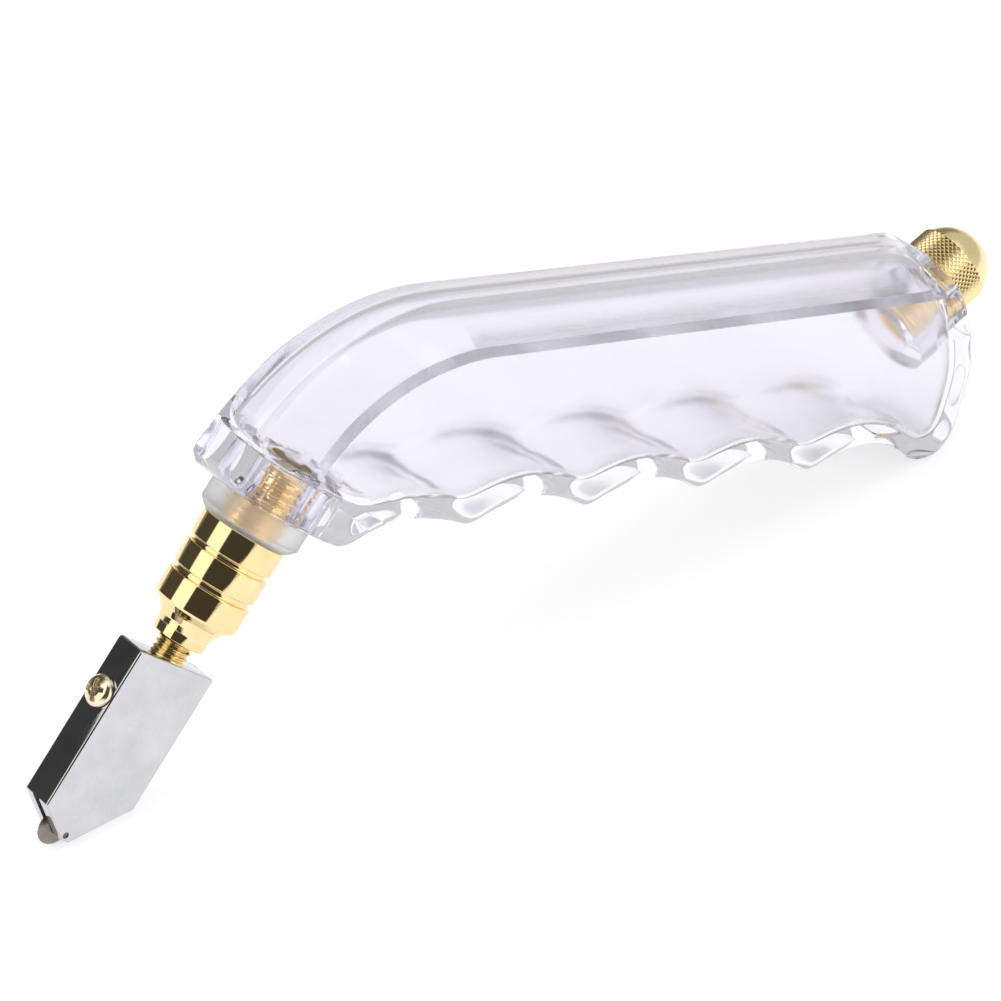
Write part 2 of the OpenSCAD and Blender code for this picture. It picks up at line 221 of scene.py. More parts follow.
def rounded(points, radii, steps=4):
    """The polyline with its corners turned into arcs; points and radii match."""
    out = []
    n = len(points)
    for i, (p, r) in enumerate(zip(points, radii)):
        if r <= 0 or i in (0, n - 1):
            out.append(p)
            continue
        a, b, c = Vector(points[i - 1]), Vector(p), Vector(points[i + 1])
        u, v = (a - b), (c - b)
        lu, lv = u.length, v.length
        u, v = u / lu, v / lv
        half = u.angle(v) / 2
        if half > math.pi / 2 - 0.02:
            out.append(p)
            continue
        cut = min(r / math.tan(half), lu * 0.49, lv * 0.49)
        rr = cut * math.tan(half)
        centre = b + (u + v).normalized() * (rr / math.sin(half))
        s, e = b + u * cut - centre, b + v * cut - centre
        for k in range(steps + 1):
            w = s.lerp(e, k / steps)
            w = w.normalized() * rr
            out.append(tuple(centre + w))
    return out


def lathe(name, profile, mat, matrix, body, segs=96, push=None, move=None, studs=(0, 0), **kw):
    """Turned solid: profile is a list of (radius, height), and push(angle, r, z) adds to the radius.
    In the rows of studs each square is split so that the studs are four-sided."""
    verts, faces = [], []
    for r, z in profile:
        for j in range(segs):
            a = 2 * math.pi * j / segs
            rr = r + (push(a, r, z) if push and r > 0 else 0)
            verts.append((rr * math.cos(a), rr * math.sin(a), z))
    for i in range(len(profile) - 1):
        for j in range(segs):
            k = (j + 1) % segs
            a, b, c, d = i * segs + j, i * segs + k, (i + 1) * segs + k, (i + 1) * segs + j
            if not studs[0] <= i < studs[1]:
                faces.append((a, b, c, d))
            elif (i - studs[0] + j) % 2:
                faces += [(a, b, d), (b, c, d)]
            else:
                faces += [(a, b, c), (a, c, d)]
    if move:
        verts = [move(v) for v in verts]
    closed = profile[0][0] == profile[-1][0] and profile[0][1] == profile[-1][1]
    if not closed:
        for i, flip in ((0, True), (len(profile) - 1, False)):
            if profile[i][0] > 1e-9:
                f = list(range(i * segs, i * segs + segs))
                faces.append(f[::-1] if flip else f)
    return add_mesh(name, verts, faces, mat, matrix, body, **kw)


def steps_between(r0, z0, r1, z1, n):
    """The points between two ends of a straight stretch cut into n."""
    return [(r0 + (r1 - r0) * i / n, z0 + (z1 - z0) * i / n) for i in range(1, n)]


def thread(z0, z1, pitch, depth, fade=0.6):
    """Radial push of a V thread between z0 and z1."""
    def push(a, r, z):
        if not z0 < z < z1:
            return 0
        u = (z / pitch - a / (2 * math.pi)) % 1.0
        tri = 1 - abs(u - 0.5) * 2
        tri = min(1.0, max(0.0, (tri - 0.12) / 0.76))
        w = min(1, (z - z0) / (fade * pitch), (z1 - z) / (fade * pitch))
        return -depth * tri * w
    return push


# ---------------------------------------------------------------- grip shells (mm, grip frame)
SPINE_Z, BEND_R, BEND_X, BEND_END, NOSE_SLOPE = 26.4, 33.0, 20.8, 52, 54
SEAM_Z, SEAM_R, SEAM_X = 21.6, 25.5, 24.0
SPINE_W, SPINE_NOSE_W = 2.7, 3.5
GRIP_W, NOSE_W = 9.75, 8.3
TAPER_X = 98
REAR_X, WALL = HEEL_X + HEEL_R, 2.2
# the finger grooves are arcs that share one radius
GROOVE_R = 17.5
GROOVE_Z = -2.75 - math.sqrt(GROOVE_R ** 2 - 100)
GROOVES = [(17.6, GROOVE_Z - 0.9)] + [(25.9 + 20 * (i + 0.5), GROOVE_Z) for i in range(4)]
# faces of the side view: a point on each and the direction that points inwards
CHIN = (((-9.9, 7), 0), ((-9.8, 6), 33), ((-8.9, 4.7), 47))
REAR = (((103, 26.3), 251), ((108.6, 21.5), 217.5), ((REAR_X, 8), 180), ((REAR_X, 9.5), 204))
NOSE_ANGLE = 63.5
# the bush's socket, and the boss and bore for the filler cap
SOCKET_R, SOCKET_TOP = 6.92, 5.3
BOSS_R, BOSS_FOOT, BORE_R = 6.75, -9, 3.81
# the nose is solid up to here
NOSE_SOLID = 5.2
# the weld between the shells, so that their faces don't coincide
GAP = 0.02
# corner radius, smoothing passes and point spacing of the two skins
OUTER_EDGE, OUTER_SOFT, OUTER_STEP = 0.8, 7, 0.7
INNER_EDGE, INNER_SOFT, INNER_STEP = 2.4, 14, 0.8
# rows of points that shape a rounded edge, in corner radii from the outline
EDGE_ROWS = (0.134, 0.426, 1.0, 1.9)


def spine_line(t):
    """Spine of the side view moved in by t, with the half widths of spine and seam at each point."""
    def on_bend(deg):
        a = math.radians(deg)
        return BEND_X - (BEND_R - t) * math.sin(a), SPINE_Z - BEND_R + (BEND_R - t) * math.cos(a)

    pts = []
    x, z = on_bend(BEND_END)
    slope = math.radians(NOSE_SLOPE)
    for i in range(20):
        d = 22 - 22 * i / 20
        pts.append((x - d * math.cos(slope), z - d * math.sin(slope), max(0, 0.25 - d / 44)))
    for i in range(40):
        pts.append((*on_bend(BEND_END * (1 - i / 40)), 0.25 + 0.75 * i / 40))
    for i in range(96):
        pts.append((BEND_X + i, SPINE_Z - t, 1 + i))
    out = []
    for x, z, u in pts:
        if u <= 1:
            ws = SPINE_NOSE_W - 0.8 * u ** 1.5
            wm = NOSE_W + 1.45 * min(1, 1.1 * u)
        else:
            ws = SPINE_W - 0.25 * (x - 25) / 75
            wm = GRIP_W if x < TAPER_X else GRIP_W - 2.45 * ((x - TAPER_X) / 24) ** 1.6
        out.append((x, z, ws, wm))
    return out


def seam_line():
    """The seam from below the nose, up round the bend and straight back."""
    def on_arc(a):
        return SEAM_X - SEAM_R * math.sin(a), SEAM_Z - SEAM_R * (1 - math.cos(a))

    x, z = on_arc(BA)
    pts = [(x - math.cos(BA) * (24 - i), z - math.sin(BA) * (24 - i)) for i in range(24)]
    pts += [on_arc(BA * (1 - i / 44)) for i in range(44)]
    return pts + [(SEAM_X + 1.2 * i, SEAM_Z) for i in range(90)]


def clip(poly, p, deg, t):
    """The polygon cut by the line through p, moved in by t, whose inward direction is deg."""
    nx, nz = math.cos(math.radians(deg)), math.sin(math.radians(deg))
    d = [(q[0] - p[0]) * nx + (q[1] - p[1]) * nz - t for q in poly]
    out = []
    for i, q in enumerate(poly):
        r, dq, dr = poly[i - 1], d[i], d[i - 1]
        if (dq >= 0) != (dr >= 0):
            s = dr / (dr - dq)
            out.append((r[0] + (q[0] - r[0]) * s, r[1] + (q[1] - r[1]) * s))
        if dq >= 0:
            out.append(q)
    return out


def outline(t, step, soften):
    """Closed side view of the grip, every face moved in by t, its corners eased."""
    poly = [(x, z) for x, z, _, _ in spine_line(t) if x < REAR_X - t] + [(REAR_X - t, SPINE_Z - t)]
    hr = HEEL_R - t
    n = 420
    for i in range(n + 1):
        x = REAR_X - t - (REAR_X - t + 14) * (i / n)
        if x > HEEL_X:
            z = HEEL_Z - math.sqrt(max(0, hr * hr - (x - HEEL_X) ** 2))
        else:
            z = HEEL_Z - hr
            for cx, cz in GROOVES:
                q = (GROOVE_R + t) ** 2 - (x - cx) ** 2
                if q > 0:
                    z = max(z, cz + math.sqrt(q))
        poly.append((x, z))
    front = -NOSE_SOLID if t > 0 else 0.3
    nose = (-math.cos(BA) * front, -math.sin(BA) * front)
    for p, deg in CHIN:
        poly = clip(poly, p, deg, t)
    poly = clip(poly, nose, NOSE_ANGLE, 0)
    for p, deg in REAR:
        poly = clip(poly, p, deg, t)
    pts = np.array(poly)
    seg = np.linalg.norm(np.roll(pts, -1, 0) - pts, axis=1)
    along = np.concatenate([[0], np.cumsum(seg)])
    n = int(along[-1] / step)
    closed = np.vstack([pts, pts[:1]])
    at = np.linspace(0, along[-1], n, endpoint=False)
    pts = np.stack([np.interp(at, along, closed[:, k]) for k in (0, 1)], 1)
    for _ in range(soften):
        pts = 0.25 * np.roll(pts, 1, 0) + 0.5 * pts + 0.25 * np.roll(pts, -1, 0)
    return pts


def distance(points, line, closed=False):
    """Distance from each point to a polyline, with the nearest segment and the place along it."""
    a = np.array(line)[:, :2]
    b = np.roll(a, -1, 0) if closed else a[1:]
    a = a if closed else a[:-1]
    best = np.full(len(points), 1e9)
    which, place = np.zeros(len(points), int), np.zeros(len(points))
    for i in range(len(a)):
        d = b[i] - a[i]
        u = np.clip(((points - a[i]) @ d) / max(d @ d, 1e-12), 0, 1)
        r = np.linalg.norm(points - a[i] - u[:, None] * d, axis=1)
        m = r < best
        best[m], which[m], place[m] = r[m], i, u[m]
    return best, which, place


def inside(points, poly):
    """Which points are inside the closed polygon."""
    x, z = points[:, 0], points[:, 1]
    hit = np.zeros(len(points), bool)
    for (x0, z0), (x1, z1) in zip(poly, np.roll(poly, -1, 0)):
        cross = (z0 > z) != (z1 > z)
        if cross.any():
            hit ^= cross & (x < (x1 - x0) * (z - z0) / ((z1 - z0) if z1 != z0 else 1e-12) + x0)
    return hit


SEAM = seam_line()
ABOVE = np.array(SEAM + [(140, 60), (-60, 60), (-60, -40)])


def half_width(v, ring, t, edge):
    """Half width of the grip moved in by t, at points of the side view."""
    to_ring, _, _ = distance(v, ring, True)
    to_spine, k, u = distance(v, spine_line(0))
    to_seam, _, _ = distance(v, SEAM)
    w = np.array([(p[2], p[3]) for p in spine_line(0)])
    ws, wm = (w[k] * (1 - u[:, None]) + w[np.minimum(k + 1, len(w) - 1)] * u[:, None]).T
    deep = np.maximum(to_spine - t, 0)
    high = inside(v, ABOVE) & (to_seam > 1e-3)
    half = np.where(high, (ws - 0.55 * t) + (wm - t - ws + 0.55 * t) * deep / (deep + to_seam + 1e-9), wm - t)
    r = np.where(deep < 1.2, 0.3 * edge, edge)
    q = np.clip(r - to_ring, 0, None)
    return half - (r - np.sqrt(np.maximum(r * r - q * q, 0)))


def sheet(t, edge, step, soften, extra=()):
    """The side view cut into triangles: points, half widths, triangles, and which are above the seam."""
    ring = outline(t, step, soften)
    nxt, prv = np.roll(ring, -1, 0), np.roll(ring, 1, 0)
    tan = nxt - prv
    nrm = np.stack([-tan[:, 1], tan[:, 0]], 1) / np.linalg.norm(tan, axis=1)[:, None]
    area = 0.5 * np.sum(ring[:, 0] * nxt[:, 1] - nxt[:, 0] * ring[:, 1])
    nrm = nrm if area > 0 else -nrm
    seam = sorted([(p[0], p[1]) for p in SEAM] + [tuple(p) for p in extra])
    soft_pts = []
    for part in EDGE_ROWS:
        c = ring + nrm * edge * part
        d, _, _ = distance(c, ring, True)
        soft_pts.append(c[(d > 0.9 * edge * part) & inside(c, ring)])
    gx, gz = np.meshgrid(np.arange(-10, 117, 1.5), np.arange(-6, 27, 1.5))
    grid = np.stack([gx.ravel(), gz.ravel()], 1)
    grid = grid[inside(grid, ring)]
    d, _, _ = distance(grid, ring, True)
    grid = grid[d > 2.2 * edge]
    free = np.vstack(soft_pts + [grid])
    d, _, _ = distance(free, seam)
    free = free[d > 0.3]
    pts = np.vstack([ring, np.array(seam), free])
    n, m = len(ring), len(seam)
    edges = [(i, (i + 1) % n) for i in range(n)] + [(n + i, n + i + 1) for i in range(m - 1)]
    res = delaunay_2d_cdt([Vector(p) for p in pts], edges, [], 0, 1e-5, False)
    v = np.array([tuple(p) for p in res[0]])
    f = np.array([tuple(q) for q in res[2]])
    mid = v[f].mean(1)
    f = f[inside(mid, ring)]
    up = inside(v[f].mean(1), ABOVE)
    half = half_width(v, ring, t, edge)
    return v, half, f, up


def key(p):
    """A point rounded, so that equal points of the two skins are found."""
    return (round(float(p[0]), 3), round(float(p[1]), 3))


def edge_table(f, up):
    """For each edge, the sides of the seam on which its triangles are."""
    t = {}
    for tri, side in zip(f, up):
        for i in range(3):
            a, b = int(tri[i]), int(tri[(i + 1) % 3])
            t.setdefault((min(a, b), max(a, b)), []).append(bool(side))
    return t


def half_shell(name, outer, inner, side):
    """Upper (side True), lower (False) or whole (None) shell as vertices and faces in mm."""
    verts, faces = [], []

    def add(v, w, f, up, e):
        base = len(verts)
        n = len(v)
        verts.extend((p[0], h, p[1]) for p, h in zip(v, w))
        verts.extend((p[0], -h, p[1]) for p, h in zip(v, w))
        for tri, s in zip(f, up):
            if side is None or bool(s) == side:
                a, b, c = (int(x) + base for x in tri)
                faces.append((a, b, c))
                faces.append((a + n, c + n, b + n))
        for (a, b), s in e.items():
            if len(s) == 1 and (side is None or s[0] == side):
                faces.append((a + base, b + base, b + base + n, a + base + n))
        return base, n

    e0 = edge_table(outer[2], outer[3])
    b0, n0 = add(*outer, e0)
    if side is None:
        return verts, faces
    e1 = edge_table(inner[2], inner[3])
    b1, n1 = add(*inner, e1)
    seam1, at1 = {}, {}
    for (a, b), s in e1.items():
        if len(s) == 2 and s[0] != s[1]:
            ka, kb = key(inner[0][a]), key(inner[0][b])
            seam1[(ka, kb)], seam1[(kb, ka)] = (a, b), (b, a)
            at1[ka], at1[kb] = a, b
    for (a, b), s in e0.items():
        if len(s) == 2 and s[0] != s[1]:
            match = seam1.get((key(outer[0][a]), key(outer[0][b])))
            if match:
                c, d = match
                faces.append((a + b0, b + b0, d + b1, c + b1))
                faces.append((a + b0 + n0, b + b0 + n0, d + b1 + n1, c + b1 + n1))
            else:
                loop = [a + b0, b + b0]
                cb, ca = at1.get(key(outer[0][b])), at1.get(key(outer[0][a]))
                loop += [cb + b1, cb + b1 + n1] if cb is not None else []
                loop += [b + b0 + n0, a + b0 + n0]
                loop += [ca + b1 + n1, ca + b1] if ca is not None else []
                faces.append(tuple(loop))
    return verts, faces


def solid(name, verts, faces):
    """A scratch object in mm for the boolean steps."""
    me = bpy.data.meshes.new(name)
    me.from_pydata([tuple(v) for v in verts], [], [tuple(f) for f in faces])
    bm = bmesh.new()
    bm.from_mesh(me)
    bmesh.ops.remove_doubles(bm, verts=bm.verts, dist=2e-4)
    bmesh.ops.delete(bm, geom=[v for v in bm.verts if not v.link_faces], context="VERTS")
    bmesh.ops.recalc_face_normals(bm, faces=bm.faces)
    bad = sum(1 for e in bm.edges if len(e.link_faces) != 2)
    bm.to_mesh(me)
    bm.free()
    if bad:
        print(name, "open or crowded edges:", bad)
    o = bpy.data.objects.new(name, me)
    bpy.context.scene.collection.objects.link(o)
    return o


def rod(name, frame_mm, r, k0, k1, segs=96):
    """A cylinder of radius r from k0 to k1 along the frame's Z."""
    rows = [(0, k0), (r, k0), (r, k1), (0, k1)]
    turns = [2 * math.pi * j / segs for j in range(segs)]
    verts = [frame_mm @ Vector((q * math.cos(a), q * math.sin(a), z)) for q, z in rows for a in turns]
    faces = [(i * segs + j, i * segs + (j + 1) % segs, (i + 1) * segs + (j + 1) % segs, (i + 1) * segs + j)
             for i in range(len(rows) - 1) for j in range(segs)]
    return solid(name, verts, faces)


def combine(a, b, how):
    """a changed by b; b is used up."""
    mod = a.modifiers.new("cut", "BOOLEAN")
    mod.operation, mod.object, mod.solver = how, b, "EXACT"
    dg = bpy.context.evaluated_depsgraph_get()
    me = bpy.data.meshes.new_from_object(a.evaluated_get(dg))
    a.modifiers.clear()
    a.data = me
    bpy.data.objects.remove(b)
    return a


BARREL_MM = Matrix.Rotation(math.pi / 2 - BA, 4, "Y")
CAP_MM = Matrix.Translation((CAP_FOOT[0], 0, CAP_FOOT[1])) @ Matrix.Rotation(math.pi / 2 - CA, 4, "Y")


def box_solid(name, frame_mm, lo, hi):
    """A box with corners lo and hi in the frame."""
    v = [frame_mm @ Vector((x, y, z)) for x in (lo[0], hi[0]) for y in (lo[1], hi[1]) for z in (lo[2], hi[2])]
    sides = [(0, 1, 3, 2), (4, 6, 7, 5), (0, 4, 5, 1), (2, 3, 7, 6), (0, 2, 6, 4), (1, 5, 7, 3)]
    return solid(name, v, sides)


def skin_finish(me):
    """For each face 0 outside, 1 on the weld or 2 in the hollow."""
    mid = np.array([tuple(f.center) for f in me.polygons])
    normal = np.array([tuple(f.normal) for f in me.polygons])
    off = mid + 0.3 * normal
    near, _, _ = distance(mid[:, ::2], SEAM)
    ring = outline(WALL, INNER_STEP, INNER_SOFT)
    half = half_width(off[:, ::2], ring, WALL, INNER_EDGE)
    hollow = inside(off[:, ::2], ring) & (np.abs(off[:, 1]) < half + 0.05)
    weld = (near < 0.035) & (np.abs(normal[:, 1]) < 0.1)
    return [int(i) for i in np.where(weld, 1, np.where(hollow, 2, 0))]


def build_grip():
    """Both shells: skins, socket, boss, and the block behind the chin with its square well."""
    inner = sheet(WALL, INNER_EDGE, INNER_STEP, INNER_SOFT)
    known = {key(p) for p in SEAM}
    extra = [p for p in inner[0][distance(inner[0], SEAM)[0] < 1e-4] if key(p) not in known]
    outer = sheet(0.0, OUTER_EDGE, OUTER_STEP, OUTER_SOFT, extra)
    up = solid("upper_work", *half_shell("u", outer, inner, True))
    low = solid("lower_work", *half_shell("l", outer, inner, False))
    for v in up.data.vertices:
        v.co.z += GAP
    combine(up, rod("r", BARREL_MM, SOCKET_R, -20, SOCKET_TOP), "DIFFERENCE")
    combine(up, rod("r", CAP_MM, BOSS_R, BOSS_FOOT - GAP, 20), "DIFFERENCE")
    body = half_shell("g", outer, inner, None)
    block = box_solid("w", BARREL_MM, (7.0, -4, 3.6), (12.4, 4, 6.3))
    combine(block, box_solid("w", BARREL_MM, (8.5, -1.4, 4.6), (10.4, 1.4, 9)), "DIFFERENCE")
    for part in (block, rod("r", CAP_MM, BOSS_R, BOSS_FOOT, 20)):
        combine(part, solid("whole", *body), "INTERSECT")
        combine(low, part, "UNION")
    combine(low, rod("r", BARREL_MM, SOCKET_R, -20, SOCKET_TOP), "DIFFERENCE")
    combine(low, rod("r", CAP_MM, BORE_R, BOSS_FOOT - 1, 20), "DIFFERENCE")
    for o, name, cad in ((up, "grip_shell_upper", "handle_upper"), (low, "grip_shell_lower", "handle_lower")):
        me = o.data.copy()
        bpy.data.objects.remove(o)
        finish = skin_finish(me)
        add_object(name, me, ACRYLIC, STAND, "grip", 28, [cad], [ACRYLIC, WELD, INSIDE],
                   lambda f: finish[f.index])


build_grip()

# ---------------------------------------------------------------- nose bush
lathe("nose_bush_body", rounded(
    [(4.56, -3.4), (5.36, -3.4), (5.36, -4.3), (5.9, -4.3), (6.9, -3.3), (6.9, 0.3), (6.9, 5.2), (4.56, 5.2),
     (4.56, -3.4)], [0, 0, 0.05, 0.5, 0.5, 0, 0.15, 0.1, 0]), FROST, BARREL, "grip", 96,
    replaces=["nose_bush"], slot="frosted_plastic", mats=[FROST, ACRYLIC],
    pick=lambda f: 0 if math.hypot(f.center.x, f.center.y) > 4.8 and f.center.z < 0 else 1)

# ---------------------------------------------------------------- barrel
neck = steps_between(4.5, -3.3, 4.5, 4.3, 116)
barrel_profile = rounded(
    [(2.46, -15.0), (2.46, -19.3), (3.05, -19.3), (3.05, -20.2), (3.55, -20.2),
     (3.62, -18.9), (3.85, -18.0), (4.45, -17.1), (5.6, -16.2), (5.75, -15.9),
     (5.75, -12.6), (5.3, -12.45), (5.3, -11.8), (5.75, -11.65), (5.75, -8.5), (5.3, -8.35), (5.3, -7.85),
     (5.75, -7.7), (5.75, -4.45), (5.65, -4.3), (4.5, -4.3)],
    [0, 0, 0.05, 0.1, 0.1, 0.6, 1.0, 1.0, 0.1, 0.15] + [0.12, 0.15, 0.15, 0.12] * 2 + [0.1, 0.1, 0]) + \
    [(4.5, -3.3)] + neck + [(4.5, 4.3), (4.3, 4.6), (3.4, 4.6), (3.4, -15.0), (2.46, -15.0)]
lathe("barrel_body", barrel_profile, GOLD, BARREL, "grip", 128, thread(-3.4, 4.3, 1.0, 0.5),
      replaces=["barrel"], slot="polished_brass", angle=40, mats=[GOLD, PALE],
      pick=lambda f: 1 if math.hypot(f.center.x, f.center.y) < 3.7 and f.center.z > -19.2 else 0)

# ---------------------------------------------------------------- stem
stem_rows = [(0.77, -33), (1.5, -33), (1.5, -23), (2.4, -22.8)] + \
    steps_between(2.4, -22.8, 2.4, -15.4, 150) + \
    [(2.4, -15.4), (2.4, -14.12), (3.35, -14.12), (3.35, -11.7), (1.7, -11.7), (1.7, -8.2), (0.77, -8.2),
     (0.77, -33)]
lathe("stem_body", stem_rows, BRASS, BARREL, "stem", 72, thread(-22.8, -15.5, 0.75, 0.34),
      replaces=["stem"], slot="plain_brass", angle=40)

# ---------------------------------------------------------------- head block
def plate_block():
    """The head: a bevelled plate with its stem bore, oil hole, wheel slot, axle hole and lock screw hole."""
    right_x = HEAD_W / 2 + 0.25
    ring = [(0, -22.8), (right_x, -22.8), (right_x, -42), (0.1, -48.8), (-1.2, -48.8), (-HEAD_W / 2, -45.2),
            (-HEAD_W / 2, -22.8), (0, -22.8)]
    ring = rounded(ring, [0, 0.3, 0.5, 0.3, 0.3, 0.3, 0.5, 0])[:-1]
    n, verts, faces = len(ring), [], []
    bevel, half = 0.3, 2.4
    turns = [math.radians(a) for a in (0, 22.5, 45, 67.5, 90)]
    rows = [(bevel * (1 - math.sin(a)), half - bevel * (1 - math.cos(a))) for a in turns]
    rows = rows + [(c, -y) for c, y in rows[::-1]]
    for c, y in rows:
        for i in range(n):
            p0, p1, p2 = (Vector(ring[j % n]) for j in (i - 1, i, i + 1))
            d0, d1 = (p1 - p0).normalized(), (p2 - p1).normalized()
            n0, n1 = Vector((d0.y, -d0.x)), Vector((d1.y, -d1.x))
            q = p1 + (n0 + n1) * (c / (1 + n0.dot(n1)))
            verts.append((q.x, y, q.y))
    for k in range(len(rows) - 1):
        for i in range(n):
            j = (i + 1) % n
            faces.append((k * n + i, k * n + j, (k + 1) * n + j, (k + 1) * n + i))
    faces += [tuple(range(n)), tuple(range(len(verts) - n, len(verts)))[::-1]]
    o = solid("head_work", verts, faces)
    same = Matrix.Identity(4)
    across = Matrix.Translation((WHEEL_N, 0, WHEEL_K)) @ Matrix.Rotation(math.pi / 2, 4, "X")
    lock = Matrix.Translation((0, 0, LOCK_K)) @ Matrix.Rotation(-math.pi / 2, 4, "Y")
    cutters = [rod("c", same, 1.55, -33.1, -21),
               rod("c", same, 0.8, -46, -32),
               box_solid("c", same, (-9, -0.7, -54), (2.2, 0.7, -45.05)),
               rod("c", across, 0.45, -5, 5, 48),
               rod("c", lock, 1.3, 0, 8, 64),
               rod("c", lock, 2.22, 6.3, 8.5, 96)]
    for cutter in cutters:
        combine(o, cutter, "DIFFERENCE")
    me = o.data.copy()
    bpy.data.objects.remove(o)
    me.name = "head_block_body"
    return add_object("head_block_body", me, BRUSHED, BARREL, "head", 30, ["head_block"],
                      [BRUSHED, MIRROR], lambda f: 0 if abs(f.normal.y) > 0.95 else 1)


plate_block()

# ---------------------------------------------------------------- lock screw
SCREW = BARREL @ Matrix.Translation((0, 0, LOCK_K)) @ Matrix.Rotation(-math.pi / 2, 4, "Y")


def lock_screw():
    """The screw, its head cut by a cross."""
    hw = HEAD_W / 2
    rows = rounded([(0, 1.56), (1.0, 1.56), (1.25, 1.8), (1.25, hw - 0.45), (2.1, hw - 0.45),
                    (2.1, hw + 0.55), (1.75, hw + 1.0), (1.0, hw + 1.25), (0, hw + 1.3)],
                   [0, 0.1, 0.1, 0.05, 0.1, 0.3, 0.4, 0.5, 0])
    fine = []
    for (r0, z0), (r1, z1) in zip(rows[:-1], rows[1:]):
        n = max(1, int(math.hypot(r1 - r0, z1 - z0) / 0.09)) if z0 > hw + 0.3 else 1
        fine += [(r0 + (r1 - r0) * i / n, z0 + (z1 - z0) * i / n) for i in range(n)]
    fine.append(rows[-1])
    turn = math.radians(20)

    def cross(v):
        x, y, z = v
        if z < hw + 0.5:
            return v
        a, b = x * math.cos(turn) + y * math.sin(turn), -x * math.sin(turn) + y * math.cos(turn)
        r, across = math.hypot(a, b), min(abs(a), abs(b))
        wide = 0.39 - 0.1 * r / 1.3
        if r < 1.45 and across < wide:
            deep = min(1.0, (wide - across) / 0.08) * min(1.0, (1.45 - r) / 0.2)
            return x, y, z - 0.7 * deep * (1 - 0.25 * r / 1.45)
        return v

    return lathe("lock_screw_body", fine, ZINC, SCREW, "lock_screw", 120, slot="zinc_yellow",
                 replaces=["lock_screw"], angle=40, move=cross)


lock_screw()

# ---------------------------------------------------------------- wheel and axle
WHEEL = BARREL @ Matrix.Translation((WHEEL_N, 0, WHEEL_K)) @ Matrix.Rotation(math.pi / 2, 4, "X")
wheel_rows = rounded([(0.51, -0.5), (1.85, -0.5), (WHEEL_R, 0), (1.85, 0.5), (0.51, 0.5), (0.51, -0.5)],
                     [0, 0.06, 0.02, 0.06, 0.03, 0], 3)
lathe("cutting_wheel_body", wheel_rows, CARBIDE, WHEEL, "wheel", 128,
      replaces=["cutting_wheel"], slot="carbide", angle=20)
lathe("axle_pin_body", rounded([(0, -2.3), (0.45, -2.3), (0.45, 2.3), (0, 2.3)], [0, 0.1, 0.1, 0]),
      PIN, WHEEL, "head", 48, replaces=["axle_pin"], slot="pin_steel")

# ---------------------------------------------------------------- filler cap with a diamond knurl
KNURL_COUNT, KNURL_ROWS, KNURL_DEPTH = 46, 11, 0.19
BAND_R, BAND_FOOT, BAND_TOP = 5.85, 0.85, 5.1
ROW_STEP = (BAND_TOP - BAND_FOOT) / KNURL_ROWS
DOME_R, DOME_Z, DOME_EDGE, DOME_STEPS = 5.75, 3.95, 76, 26


def knurl(a, z):
    """Valleys where the crossing cuts meet; the studs stand between them."""
    i, j = round((z - BAND_FOOT) / ROW_STEP), round(a * KNURL_COUNT / math.pi)
    return -KNURL_DEPTH if (i + j) % 2 == 0 else 0


band = [(BAND_R, BAND_FOOT + ROW_STEP * i) for i in range(KNURL_ROWS + 1)]
turns = [math.radians(DOME_EDGE - DOME_EDGE * i / DOME_STEPS) for i in range(DOME_STEPS)]
dome = [(DOME_R * math.sin(t), DOME_Z + DOME_R * math.cos(t)) for t in turns]
spigot = steps_between(3.75, -7.1, 3.75, -0.2, 120)
shank = [(0, -5.8), (2.55, -5.8), (2.55, -7.4), (3.45, -7.4), (3.75, -7.1)] + spigot + \
    [(3.75, -0.2), (3.75, 0.95), (4.7, 0.95), (4.7, 0.3), (5.35, 0.3), (5.62, 0.55)]
cap_thread = thread(-7.2, -0.3, 1.3, 0.45)
cap_profile = shank + band + [(5.7, 5.3)] + dome + [(0, DOME_Z + DOME_R)]
lathe("filler_cap_body", cap_profile, SATIN, CAP, "filler_cap", 2 * KNURL_COUNT,
      lambda a, r, z: knurl(a, z) if r == BAND_R else cap_thread(a, r, z),
      studs=(len(shank), len(shank) + KNURL_ROWS), replaces=["filler_cap"], slot="satin_brass", angle=30)

# ---------------------------------------------------------------- finish on the small inner CAD nodes
for name, m in (("cap_seal", RUBBER), ("barrel_seal", RUBBER), ("stem_wiper", RUBBER), ("valve_seal", RUBBER),
                ("valve_spring", STEEL), ("spring_plug", PALE), ("wick", COTTON)):
    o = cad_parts[name]
    o.data.materials.clear()
    o.data.materials.append(m)
    for f in o.data.polygons:
        f.use_smooth = True
    o.data.set_sharp_from_angle(angle=math.radians(35))


# ---------------------------------------------------------------- studio
def stage_mesh(name, verts, faces, mat):
    """A mesh of the studio, left out of the model."""
    me = bpy.data.meshes.new(name)
    me.from_pydata(verts, [], faces)
    me.materials.append(mat)
    o = bpy.data.objects.new(name, me)
    bpy.context.scene.collection.objects.link(o)
    return o


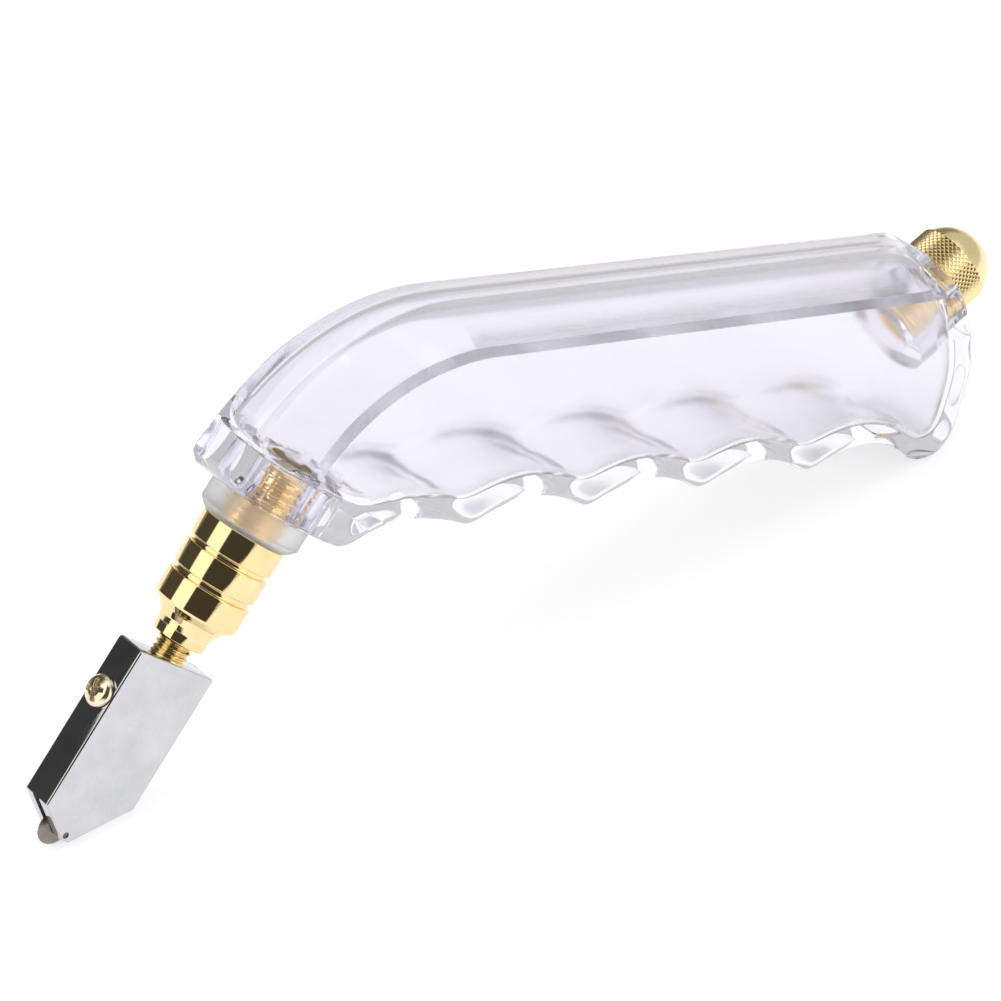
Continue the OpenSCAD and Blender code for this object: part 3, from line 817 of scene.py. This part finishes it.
def studio():
    """The floor, the even white surroundings and the number of light bounces."""
    m, nt, p = new_material("floor_paint")
    f = noise_tex(nt, coords(nt, (1, 1, 1)), 6.0, 3)
    tones = [(0.3, (0.58, 0.58, 0.585)), (0.7, (0.62, 0.62, 0.625))]
    nt.links.new(ramp(nt, f, tones), p.inputs["Base Color"])
    p.inputs["Roughness"].default_value = 0.9
    p.inputs["Emission Color"].default_value = (1, 1, 1, 1)
    p.inputs["Emission Strength"].default_value = 0.62
    n = 96
    stage_mesh("floor", [(0.06 + 3 * math.cos(2 * math.pi * j / n), 3 * math.sin(2 * math.pi * j / n), 0)
                         for j in range(n)], [tuple(range(n))], m)

    world = bpy.data.worlds.new("studio")
    bpy.context.scene.world = world
    world.use_nodes = True
    bg = world.node_tree.nodes["Background"]
    bg.inputs["Color"].default_value = (1, 1, 1, 1)
    bg.inputs["Strength"].default_value = 0.6
    c = bpy.context.scene.cycles
    c.max_bounces, c.glossy_bounces, c.transmission_bounces = 32, 16, 28


studio()
rot = Matrix.Rotation(TILT, 3, "Y")
back = Vector((-0.64415641, -0.64415641, 0.41246216))
EYE_DIR = rot @ back


def flag(name, lo, hi, tone, glow, reach=0.8):
    """A studio panel that only reflections see: curved about the barrel's axis, from lo to hi degrees about
    it counted from the camera's side."""
    axis = (BARREL.to_3x3() @ Vector((0, 0, 1))).normalized()
    e1 = (EYE_DIR - axis * EYE_DIR.dot(axis)).normalized()
    e2 = Vector((0, -1, 0))
    e2 = (e2 - axis * e2.dot(axis) - e1 * e2.dot(e1)).normalized()
    m, nt, p = new_material(name)
    p.inputs["Base Color"].default_value = (0.01, 0.01, 0.01, 1)
    p.inputs["Roughness"].default_value = 1.0
    p.inputs["Emission Color"].default_value = (*tone, 1)
    p.inputs["Emission Strength"].default_value = glow
    base = BARREL @ Vector((0, 0, -12))
    n, verts = 16, []
    for i in range(n + 1):
        a = math.radians(lo + (hi - lo) * i / n)
        d = e1 * math.cos(a) + e2 * math.sin(a)
        verts += [tuple(base + d * reach + axis * h) for h in (-1.1, 1.1)]
    o = stage_mesh(name, verts, [(2 * i, 2 * i + 1, 2 * i + 3, 2 * i + 2) for i in range(n)], m)
    o.visible_camera = o.visible_shadow = o.visible_diffuse = o.visible_transmission = False
    return o


def area(name, direction, distance, size, power, target=(0.06, 0, 0.04)):
    """A round light that shines at the target from a direction."""
    d = Vector(direction).normalized()
    li = bpy.data.lights.new(name, "AREA")
    li.shape, li.size, li.energy = "DISK", size, power
    o = bpy.data.objects.new(name, li)
    bpy.context.scene.collection.objects.link(o)
    o.location = Vector(target) + d * distance
    o.rotation_mode = "QUATERNION"
    o.rotation_quaternion = (-d).to_track_quat("-Z", "Y")
    o.visible_camera = False
    return o


flag("flag_edge", -176, -118, (1, 0.9, 0.75), 0.22)
flag("flag_left", -117, -66, (1, 0.95, 0.9), 0.045)
flag("panel_mid", -65, -26, (1, 0.98, 0.9), 1.35, 0.85)
flag("flag_front", -25, 42, (1, 0.85, 0.7), 0.03)
area("rim", (0.31, -0.89, 0.33), 0.9, 0.7, 1.8)
area("key", (-0.75, 0.1, 0.75), 0.9, 0.35, 1.0)
area("top", (0.3, -0.2, 1.0), 1.1, 0.9, 1.0)

# ---------------------------------------------------------------- camera at the photograph's viewing angle
FOCAL, PHOTO_SIDE, SENSOR = 4227.446997, 1001, 36
right = Vector((0.75566419, -0.61944843, 0.21273286))
upc = Vector((0.1184658, 0.44871612, 0.88578762))
eye = Vector((40.00978142, 0.0, -5.39044515)) + 547.1166997 * back
cam = bpy.data.objects.new("camera", bpy.data.cameras.new("camera"))
bpy.context.scene.collection.objects.link(cam)
cam.matrix_world = Matrix.Translation(STAND @ eye) @ \
    Matrix((rot @ right, rot @ upc, rot @ back)).transposed().to_4x4()
cam.data.sensor_width = SENSOR
cam.data.lens = FOCAL * SENSOR / PHOTO_SIDE
cam.data.clip_start, cam.data.clip_end = 0.02, 20
bpy.context.scene.camera = cam
bpy.context.scene.view_settings.view_transform = "Standard"
